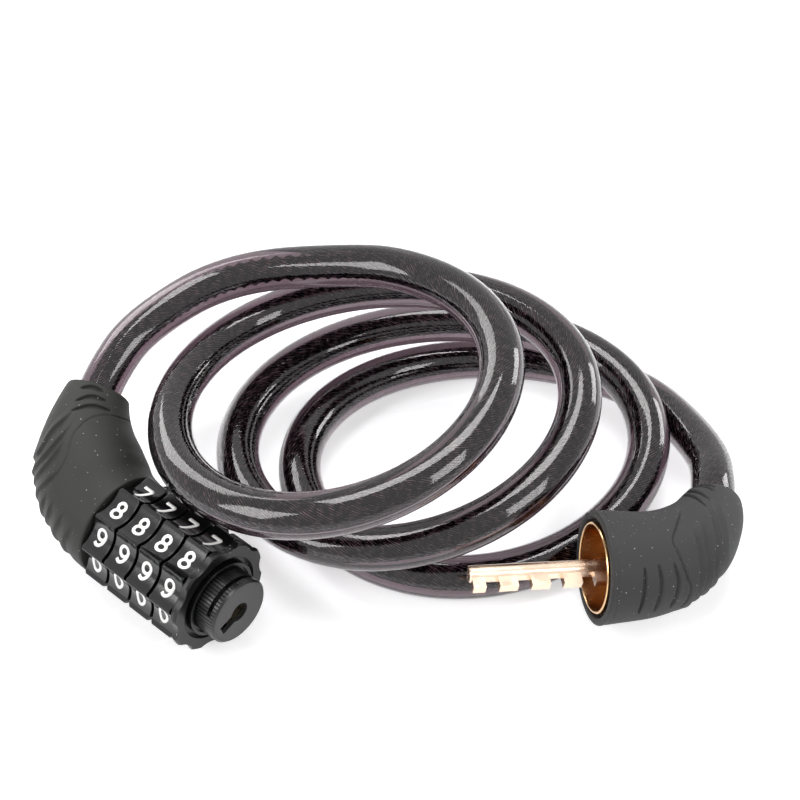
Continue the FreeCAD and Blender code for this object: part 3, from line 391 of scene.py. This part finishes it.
def moulded(name, colour, roughness, grain, specks, edge=0.0, shine=0.5, relief=0.3):
    """Moulded plastic or rubber: its colour, gloss, the size of its grain in mm, the share of cells of
    1.2 mm that carry a speck of dust, how far in mm its edges look rounded, how strongly it mirrors,
    and how deep its grain looks. Most specks are faint, by a power of a random number."""
    material, tree = blank(name)
    place = node(tree, "TexCoord").outputs["Object"]
    cells = node(tree, "TexVoronoi", {"Vector": place, "Scale": 830.0})
    chance = node(tree, "SeparateColor", {0: cells.outputs["Color"]})
    small = node(tree, "MapRange", {0: cells.outputs["Distance"], 1: 0.07, 2: 0.15, 3: 1.0, 4: 0.0})
    picked = node(tree, "Math", {0: chance.outputs[0], 1: 1 - specks}, operation="GREATER_THAN")
    weight = node(tree, "Math", {0: small.outputs[0], 1: picked.outputs[0]}, operation="MULTIPLY")
    rare = node(tree, "Math", {0: chance.outputs[1], 1: 2.5}, operation="POWER")
    bright = node(tree, "Math", {0: weight.outputs[0], 1: rare.outputs[0]}, operation="MULTIPLY")
    tint = node(tree, "Mix", {0: bright.outputs[0], 6: linear(colour), 7: linear("#B9B7B2")},
                data_type="RGBA")
    fine = node(tree, "TexNoise", {"Vector": place, "Scale": 1000 / grain, "Detail": 2.0})
    bump = node(tree, "Bump", {"Height": fine.outputs[0], "Strength": relief, "Distance": 0.00004})
    if edge:
        soft = node(tree, "Bevel", {"Radius": edge / 1000}, samples=6)
        tree.links.new(soft.outputs[0], bump.inputs["Normal"])
    shader = node(tree, "BsdfPrincipled", {
        "Base Color": tint.outputs[2], "Roughness": roughness, "Specular IOR Level": shine,
        "Normal": bump.outputs[0]})
    node(tree, "OutputMaterial", {"Surface": shader.outputs[0]})
    return material


DIAL_PITCH = 8.5
FACE_RADIUS, FACE_CENTRE = 7.2, 20.6
EIGHT_ANGLE = 16.3
dress(["dial_1", "dial_2", "dial_3", "dial_4"],
      moulded("gloss_black_abs", "#0D0D0E", 0.14, 0.4, 0.08, edge=0.3, shine=0.55))
ink, tree = blank("white_pad_printing_ink")
node(tree, "OutputMaterial", {"Surface": node(tree, "BsdfPrincipled", {
    "Base Color": linear("#FBFBF8"), "Roughness": 0.6}).outputs[0]})


def bow(across, up, wide, high, start, end):
    """Points of an oval's arc, from a start to an end angle in degrees."""
    angle = np.radians(np.linspace(start, end, 1 + int(abs(end - start) / 10)))
    return np.stack([across + wide * np.cos(angle), up + high * np.sin(angle)], -1)


# Centre lines of the ten figures' strokes, across and up from the middle of the face, in mm before
# the figures are enlarged.
STROKE = 0.42
FIGURE_SIZE = 1.13
FIGURES = [
    [bow(0, 0, 1.2, 2.0, 90, 450)],
    [[(-0.9, 1.2), (0.1, 2.0), (0.1, -2.0)]],
    [np.vstack([bow(0, 0.85, 1.15, 1.15, 165, -25), [(-1.2, -2.0), (1.25, -2.0)]])],
    [bow(-0.05, 0.98, 1.1, 1.02, 150, -90), bow(-0.05, -0.95, 1.25, 1.05, 90, -150)],
    [[(0.6, -2.0), (0.6, 2.0), (-1.3, -0.9), (1.3, -0.9)]],
    [np.vstack([[(1.1, 2.0), (-0.9, 2.0), (-1.05, 0.2)], bow(0, -0.7, 1.25, 1.3, 130, -145)])],
    [bow(0, -0.75, 1.2, 1.25, 0, 360), bow(0.3, -0.6, 1.5, 2.6, 180, 65)],
    [[(-1.2, 2.0), (1.2, 2.0), (-0.3, -2.0)]],
    [bow(0, 1.02, 1.0, 0.98, -90, 270), bow(0, -0.96, 1.22, 1.04, 90, 450)],
    [bow(0, 0.75, 1.2, 1.25, 180, 540), bow(-0.3, 0.6, 1.5, 2.6, 0, -115)]]


def stroke(corners):
    """Round-ended band along a line in the plane: its four edges, two low and two high. The half width
    is a half circle's at each end, unless the line is closed."""
    corners = np.asarray(corners, float)
    run = np.concatenate([[0], np.cumsum(np.linalg.norm(np.diff(corners, axis=0), axis=1))])
    closed = np.linalg.norm(corners[0] - corners[-1]) < 0.01
    at = np.linspace(0, run[-1], 1 + math.ceil(run[-1] / 0.12))
    line = np.stack([np.interp(at, run, corners[:, k]) for k in (0, 1)], -1)
    way = np.gradient(line, axis=0)
    way /= np.linalg.norm(way, axis=1)[:, None]
    side = np.stack([-way[:, 1], way[:, 0]], -1)
    half = np.full(len(at), STROKE)
    if not closed:
        turn = np.linspace(0.12, 1, 5)[:-1] * math.pi / 2
        tip = STROKE * np.cos(turn)[::-1, None]
        line = np.vstack([line[0] - tip * way[0], line, line[-1] + tip[::-1] * way[-1]])
        side = np.vstack([np.repeat(side[:1], 4, 0), side, np.repeat(side[-1:], 4, 0)])
        round_ = STROKE * np.sin(turn)[::-1]
        half = np.concatenate([round_[::-1], half, round_])
    left, right = line + half[:, None] * side, line - half[:, None] * side
    return np.stack([left, right, right, left], 1)


INK_EDGES = np.array([-0.1, -0.1, 0.1, 0.1])
for number in range(4):
    prints = []
    for figure, strokes in enumerate(FIGURES):
        theta = math.radians(EIGHT_ANGLE + 36 * (figure - 8))
        out = math.cos(theta) * LOCK_AXES[0] + math.sin(theta) * LOCK_AXES[1]
        down = -math.sin(theta) * LOCK_AXES[0] + math.cos(theta) * LOCK_AXES[1]
        for line in strokes:
            flat = stroke(FIGURE_SIZE * np.asarray(line))
            depth = FACE_CENTRE - np.sqrt(FACE_RADIUS ** 2 - flat[..., 1] ** 2) + INK_EDGES
            along = (number + 0.5) * DIAL_PITCH + flat[..., 0]
            prints.append(LOCK_PLACE + along[..., None] * LOCK_AXES[2] + depth[..., None] * out
                          - flat[..., 1:] * down)
    numbers = skin("dial_%d_numbers" % (number + 1), prints, ink)
    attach(numbers, "dial_%d" % (number + 1))


# End cap and knob: moulded in the same black ABS, the cap clipped over the barrel's end, the knob
# knurled for the fingers and held by a clip under its grey face. The face takes the reset tool.
dress(["end_cap"], moulded("black_abs_end_cap", "#0E0E0F", 0.26, 0.4, 0.40, edge=0.25, shine=0.35))
dress(["set_knob"], moulded("knurled_black_abs", "#101011", 0.30, 0.3, 0.08, edge=0.12, shine=0.45))
dress(["knob_face"], moulded("satin_grey_abs", "#2B2B2C", 0.45, 0.3, 0.05, edge=0.2, relief=0.6))


# Lock boot: a sleeve of matte soft-touch rubber, moulded over the socket and the cable's end. Soft
# ribs and short slots give the fingers a hold, and a fine line parts the smooth panel from them.
def through(stations, values, at):
    """Smooth curve through values at stations: cubic pieces whose slopes come from the neighbours."""
    stations, values = np.asarray(stations, float), np.asarray(values, float)
    slopes = np.gradient(values, stations)
    i = np.clip(np.searchsorted(stations, at) - 1, 0, len(stations) - 2)
    gap = stations[i + 1] - stations[i]
    t = (at - stations[i]) / gap
    return ((1 + 2 * t) * (1 - t) ** 2 * values[i] + t * (1 - t) ** 2 * gap * slopes[i]
            + t * t * (3 - 2 * t) * values[i + 1] + t * t * (t - 1) * gap * slopes[i + 1])


def elbow(start, start_way, end, end_way, steps):
    """Two tangent arcs from one point and direction to another. Their corners lie equally far along
    both directions, at the distance that makes the middle leg twice as long."""
    span = end - start
    squared = 2 * (start_way @ end_way - 1)
    straight = -2 * span @ (start_way + end_way)
    root = math.sqrt(straight ** 2 - 4 * squared * (span @ span))
    leg = max((-straight - root) / (2 * squared), (-straight + root) / (2 * squared))
    first, second = start + leg * start_way, end - leg * end_way
    middle, way = (first + second) / 2, (second - first) / np.linalg.norm(second - first)
    arcs = []
    for a, before, b, after in ((start, start_way, middle, way), (middle, way, end, end_way)):
        bend = math.acos(before @ after)
        inward = after - before * (before @ after)
        inward /= np.linalg.norm(inward)
        radius = np.linalg.norm(b - a) / (2 * math.sin(bend / 2))
        angle = np.linspace(0, bend, steps)[:, None]
        arcs.append(a + radius * (np.sin(angle) * before + (1 - np.cos(angle)) * inward))
    return np.vstack([arcs[0], arcs[1][1:]])


class Sleeve:
    """Rubber sleeve along a bent line: a round skin whose radius changes along it. A spot on it is
    given by how far along the line it is in mm and by its angle round the line in degrees."""

    def __init__(self, place, axes, exit_point, exit_way, start, straight, radii):
        """The line begins at start mm behind the head's origin, runs straight back and then bends to
        the exit. Radii go with shares: -1 to 0 along the straight, 0 to 1 along the bend."""
        back = np.array([0, 0, -1.0])
        knee = back * (start + straight)
        bent = elbow(knee, back, exit_point, exit_way, 200)
        length = np.linalg.norm(np.diff(bent, axis=0), axis=1).sum()
        line = np.vstack([np.linspace(back * start, knee, 60)[:-1], bent]) if straight else bent
        run = np.concatenate([[0], np.cumsum(np.linalg.norm(np.diff(line, axis=0), axis=1))])
        self.reach = run[-1]
        self.run = np.linspace(0, run[-1], 400)
        self.line = np.stack([np.interp(self.run, run, line[:, k]) for k in range(3)], -1)
        ahead = np.gradient(self.line, axis=0)
        ahead /= np.linalg.norm(ahead, axis=1)[:, None]
        upright = np.cross(back, exit_way)
        first = upright - ahead * (ahead @ upright)[:, None]
        self.first = first / np.linalg.norm(first, axis=1)[:, None]
        self.second = np.cross(ahead, self.first)
        shares, values = zip(*radii)
        self.stations = [straight * (1 + s) if s < 0 else straight + s * length for s in shares]
        self.values = values
        self.place, self.axes = place, axes

    def radius(self, along):
        return through(self.stations, self.values, along)

    def spot(self, along, degrees, radius=None):
        """Points in mm at these places along and round, at the skin's radius or at another."""
        along = np.asarray(along, float)
        radius = self.radius(along) if radius is None else radius
        angle = np.radians(degrees)
        pick = [np.stack([np.interp(along, self.run, part[:, k]) for k in range(3)], -1)
                for part in (self.line, self.first, self.second)]
        local = pick[0] + np.asarray(radius)[..., None] * (
            np.cos(angle)[..., None] * pick[1] + np.sin(angle)[..., None] * pick[2])
        return local @ self.axes + self.place

    def carve(self, spots, along, degrees, grooves):
        """Depth in mm at each spot: for a groove, its depth times the square of 1 - (distance to its
        line / half width) squared. A wide groove's half width falls to 0.3 of it by the cube of the
        share of the way to its ends. Of overlapping grooves the deepest counts, and a negative depth
        raises a bump."""
        depth = np.zeros(spots.shape[:2])
        for half, deep, marks in grooves:
            marks = np.array(marks, float)
            leg = np.hypot(np.diff(marks[:, 0]), np.radians(np.diff(marks[:, 1])) * 14)
            run = np.concatenate([[0], np.cumsum(leg)])
            at = np.linspace(0, run[-1], 2 + int(run[-1] / 0.3))
            line = self.spot(through(run, marks[:, 0], at), through(run, marks[:, 1], at))
            taper = 1 - 0.7 * np.abs(2 * at / run[-1] - 1) ** 3 if half > 0.5 else at * 0 + 1
            near = np.full(spots.shape[:2], 1e9)
            for point, share in zip(line, taper):
                near = np.minimum(near, ((spots - point) ** 2).sum(-1) / share ** 2)
            shape = np.clip(1 - near / half ** 2, 0, 1) ** 2
            depth = np.maximum(depth, deep * shape) if deep > 0 else depth + deep * shape
        return depth

    def shingle(self, along, degrees, ridges):
        """Depth in mm of ridges that overlap like roof tiles. The skin rises in a straight slope to a
        ridge's line, drops there, and comes back over the same width. A ridge is given by how far it
        stands out and drops, its width, the side that drops, and its line, by rising angles. It fades
        over 14 degrees at both ends."""
        depth = np.zeros(along.shape)
        for proud, deep, width, side, marks in ridges:
            marks = np.array(marks, float)
            low, high = marks[0, 1], marks[-1, 1]
            turned = (degrees - low) % 360 + low
            line = through(marks[:, 1], marks[:, 0], np.clip(turned, low, high))
            past = side * (along - line)
            step = np.clip(past / 0.5 + 0.5, 0, 1)
            step = step * step * (3 - 2 * step)
            fade = np.clip((turned - low) / 14, 0, 1) * np.clip((high - turned) / 14, 0, 1)
            rise = proud * np.clip(1 + past / width, 0, 1)
            fall = deep * np.clip(1 - past / width, 0, 1)
            depth += fade * (step * fall - (1 - step) * rise)
        return depth

    def grid(self, lip, bore, grooves, ridges, columns, pitch, notch=None):
        """Skin's grid: outside with the grooves and ridges cut in, round the end lip, back along the
        bore and round the front lip. The bore is given by places along and radii. A notch in the rim
        is given by its angle and half width in degrees and its depth in mm."""
        outside = np.linspace(lip, self.reach - lip, int((self.reach - 2 * lip) / pitch))
        degrees = np.arange(columns) * 360 / columns
        along, round_ = np.meshgrid(outside, degrees, indexing="ij")
        spots = self.spot(along, round_)
        depth = self.carve(spots, along, round_, grooves) + self.shingle(along, round_, ridges)
        turn = np.radians(np.arange(10, 100, 20))
        far = self.reach - lip + lip * np.sin(turn)
        far_radius = self.radius(self.reach) - lip + lip * np.cos(turn)
        near = lip - lip * np.cos(turn)
        near_radius = self.radius(0.0) - lip + lip * np.sin(turn)
        inner = np.concatenate([np.linspace(self.reach - 0.3, 3.0, 40), np.linspace(2.8, 0.3, 11)])
        bore_radius = np.interp(inner, *zip(*bore))
        rest = np.concatenate([far, [self.reach], inner, [0.0], near])
        rest_radius = np.concatenate([far_radius, [bore_radius[0] + 0.3], bore_radius,
                                      [bore_radius[-1] + 0.3], near_radius])
        more, beside = np.meshgrid(rest, degrees, indexing="ij")
        along, round_ = np.vstack([along, more]), np.vstack([round_, beside])
        radius = np.vstack([self.radius(outside)[:, None] - depth,
                            np.repeat(rest_radius[:, None], columns, 1)])
        if notch:
            off = np.abs((round_ - notch[0] + 180) % 360 - 180)
            open_ = notch[2] * np.clip(2.5 - 2 * off / notch[1], 0, 1)
            along = along + open_ * np.clip(1 - along / 4, 0, 1)
        return self.spot(along, round_, radius)


def exit_way(bend, roll):
    """Direction of the cable's exit in the head's axes, from the elbow's bend and its roll."""
    bend, roll = math.radians(bend), math.radians(roll)
    return np.array([math.sin(bend) * math.cos(roll), math.sin(bend) * math.sin(roll), -math.cos(bend)])


soft_touch = moulded("matte_soft_touch_rubber", "#232321", 0.62, 0.35, 0.60, shine=0.3, relief=0.8)
lock_sleeve = Sleeve(LOCK_PLACE, LOCK_AXES, np.array([14.1, -21.4, -32.0]), exit_way(70, -63.3),
                     start=0.4, straight=0.0, radii=[
                         (0, 15.0), (0.2, 15.33), (0.4, 15.6), (0.58, 14.5), (0.76, 12.0),
                         (0.9, 10.1), (1, 8.9)])
# Half width and depth in mm, then places along and round: slots by the exit and the panel's parting
# line. After them the ridges under the heel and the short ones below them.
lock_boot = skin("lock_boot_rubber", [lock_sleeve.grid(
    lip=0.35, bore=[(0, 9.2), (28, 8.6), (33, 6.3), (44, 6.3)], grooves=[
        (0.85, 1.10, [(40.9, 182), (41.8, 200), (41.6, 219)]),
        (0.85, 1.10, [(36.9, 183), (38.8, 204), (38.8, 228)]),
        (0.85, 1.10, [(33.9, 183), (35.8, 208), (35.8, 236)]),
        (0.34, 0.40, [(35.9, 286), (34.4, 251), (33.9, 232), (32.7, 217), (30.9, 205), (28.4, 196),
                      (25.7, 189), (22.9, 185), (19.8, 180), (17.4, 171), (16.4, 159), (16.5, 145),
                      (16.9, 120), (17.2, 70)])], ridges=[
        (0.45, 0.55, 3.0, -1, [(25.0, 70), (25.0, 120), (25.3, 147), (28.5, 159), (31.1, 173),
                               (34.0, 186)]),
        (0.45, 0.55, 3.0, -1, [(21.8, 70), (21.9, 120), (22.4, 145), (23.2, 157), (26.3, 175),
                               (30.0, 188)]),
        (0.40, 0.50, 2.8, -1, [(19.6, 70), (19.8, 116), (19.9, 144), (22.0, 167), (26.0, 184)]),
        (0.30, 0.35, 2.4, -1, [(16.9, 70), (16.8, 120), (16.6, 150), (17.4, 171)]),
        (0.30, 0.55, 2.4, -1, [(14.1, 70), (14.0, 108), (13.9, 125), (14.3, 146)]),
        (0.30, 0.55, 2.4, -1, [(12.3, 70), (11.9, 105), (11.3, 127), (11.7, 149)]),
        (0.30, 0.55, 2.4, -1, [(8.9, 70), (8.7, 109), (8.0, 128), (7.6, 151)]),
        (0.30, 0.50, 2.4, -1, [(6.2, 70), (5.8, 100), (4.9, 124), (3.7, 148)])],
    columns=340, pitch=0.26)], soft_touch, ring=True)
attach(lock_boot, "lock")
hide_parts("lock_boot")


# Plug: a brass cup, its mouth turned bright, on a brass core, with a toothed pin of plated brass in
# the middle. The pin goes into the barrel, and the cup over the barrel's end.
dress(["shroud_tube"], metal("turned_brass", "#D6B083", 0.22, 0.3, 0.08))
# The core's darker brown colour is painted shade at the bottom of the cup; its dull gloss is the cast
# finish.
dress(["plug_socket"], metal("cast_brass_painted_shade", "#8F6838", 0.42, 0.6))
dress(["locking_pin"], metal("pale_gold_plating", "#F0D4BC", 0.26, 0.35))

# Plug boot: the same rubber, a little greyer with wear. It has a plain band round its mouth, three
# finger slots, and wavy ribs round the elbow.
worn_rubber = moulded("worn_soft_touch_rubber", "#2D2D2D", 0.66, 0.35, 0.90, shine=0.35, relief=1.0)
plug_sleeve = Sleeve(PLUG_PLACE, PLUG_AXES, np.array([2.7, 18.8, -38.2]), exit_way(70, 84.4),
                     start=0.3, straight=10.2, radii=[
                         (-1, 15.0), (-0.5, 14.6), (0, 14.2), (0.25, 13.32), (0.5, 12.0),
                         (0.75, 10.15), (0.92, 8.73), (1, 7.7)])
# Half width and depth in mm, then places along and round: the mouth's band, the parting line, the
# finger slots and the grooves by the exit; a swell above the waist and a flat on the heel. After
# them the ridges round the elbow.
plug_boot = skin("plug_boot_rubber", [plug_sleeve.grid(
    lip=0.5, bore=[(0, 13.0), (1.9, 12.9), (2.4, 12.0), (13.4, 12.0), (14.7, 8.4), (33.2, 8.2),
                   (38.2, 6.3), (47, 6.3)], grooves=[
        (0.30, 0.22, [(1.7, 0), (1.7, 90), (1.7, 180), (1.7, 270), (1.7, 360)]),
        (0.42, 0.70, [(39.7, 272), (36.0, 300), (32.7, 315), (29.7, 327), (24.5, 342), (20.5, 356),
                      (17.1, 374), (17.3, 387), (17.6, 399), (18.2, 415), (18.9, 430), (18.7, 443),
                      (18.0, 460)]),
        (0.80, 0.95, [(8.8, 38), (8.9, 55), (8.6, 92)]),
        (0.80, 0.95, [(12.2, 36), (12.6, 53), (12.0, 92)]),
        (0.80, 0.95, [(15.7, 37), (16.2, 56), (15.2, 92)]),
        (0.80, 1.00, [(45.0, 312), (45.2, 330), (44.0, 350)]),
        (0.80, 1.00, [(45.3, 300), (44.0, 328), (42.2, 350)]),
        (0.80, 1.00, [(43.6, 290), (40.4, 323), (37.6, 351)]),
        (0.80, 1.00, [(41.6, 285), (37.8, 319), (34.2, 352)]),
        (12.0, -3.2, [(16.0, 293), (23.0, 293), (29.0, 298)]),
        (12.0, 0.7, [(34.0, 50), (41.0, 20)])], ridges=[
        (0.45, 0.65, 3.0, 1, [(23.6, 8), (22.9, 23), (21.7, 42), (20.9, 63), (20.4, 77), (20.4, 130)]),
        (0.45, 0.65, 3.0, 1, [(27.6, 2), (26.2, 16), (24.5, 36), (23.7, 52), (22.6, 75), (22.6, 130)]),
        (0.45, 0.65, 3.0, 1, [(33.4, -8), (31.9, 5), (29.4, 22), (27.2, 41), (25.7, 56), (24.8, 80),
                              (24.8, 130)]),
        (0.45, 0.65, 3.0, 1, [(36.0, -2), (34.2, 11), (32.0, 26), (29.8, 43), (27.9, 56), (27.0, 80),
                              (27.0, 130)])],
    columns=330, pitch=0.26, notch=(296.0, 5.0, 1.6))], worn_rubber, ring=True)
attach(plug_boot, "lock")
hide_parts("plug_boot")
